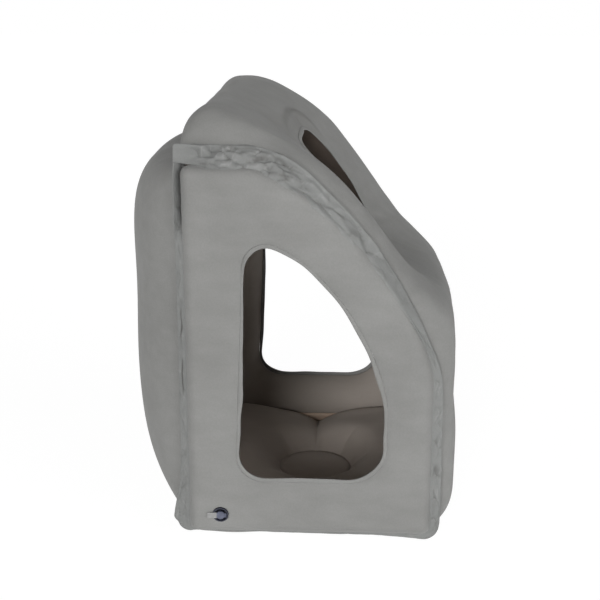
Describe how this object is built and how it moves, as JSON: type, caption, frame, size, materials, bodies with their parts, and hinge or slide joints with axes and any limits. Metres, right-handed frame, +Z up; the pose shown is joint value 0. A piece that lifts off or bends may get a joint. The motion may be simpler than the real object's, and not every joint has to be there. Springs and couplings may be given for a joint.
{
  "type": "inflatable wedge travel pillow",
  "caption": "Inflatable wedge pillow to lean forward on, double-walled in flocked vinyl, with arm windows in the sides, a face opening in the slope, welded fins and a push-in air valve.",
  "frame": {"origin": "middle of the footprint box, on the surface that the pillow stands on", "axes": "+Z up, +X to the right of the person who leans on it, +Y towards the back wall, away from the person, so the slope with the face opening faces -Y and up"},
  "size_m": [0.3683, 0.381, 0.501],
  "materials": {
    "flocked_outer": "short matt flock",
    "flocked_inner": "short matt flock",
    "weld_strip": "flock pressed flat by the weld",
    "clear_vinyl": "clear soft vinyl"
  },
  "bodies": {
    "pillow": {"left_outer_sheet": "flocked_outer", "left_inner_sheet": "flocked_inner", "left_window_weld": "weld_strip", "left_edge_seam": "weld_strip", "right_outer_sheet": "flocked_outer", "right_inner_sheet": "flocked_inner", "right_window_weld": "weld_strip", "right_edge_seam": "weld_strip", "face_outer_sheet": "flocked_outer", "face_inner_sheet": "flocked_inner", "face_opening_weld": "weld_strip", "back_outer_sheet": "flocked_outer", "back_inner_sheet": "flocked_inner", "base_outer_sheet": "flocked_outer", "base_inner_sheet": "flocked_inner", "base_disc_weld": "weld_strip", "top_cross_seam": "weld_strip", "front_cross_seam": "weld_strip", "rear_cross_seam": "weld_strip", "valve_cup": "clear_vinyl"},
    "stem": {"valve_stem": "clear_vinyl"},
    "plug": {"valve_plug": "clear_vinyl", "valve_hinge_strap": "clear_vinyl"},
    "flap": {"valve_flap": "clear_vinyl"}
  },
  "joints": [
    {"name": "valve_stem_slide", "type": "slide", "parent": "pillow", "child": "stem", "axis": [-0.9945, 0, -0.1045], "range_m": [0, 0.008]},
    {"name": "plug_swing", "type": "hinge", "parent": "stem", "child": "plug", "pos_m": [-0.18405, 0.0735, 0.04188], "axis": [-0.1045, 0, 0.9945], "range_deg": [0, 110]},
    {"name": "flap_swing", "type": "hinge", "parent": "stem", "child": "flap", "pos_m": [-0.16626, 0.0795, 0.04768], "axis": [0, -1, 0], "range_deg": [0, 40]}
  ]
}
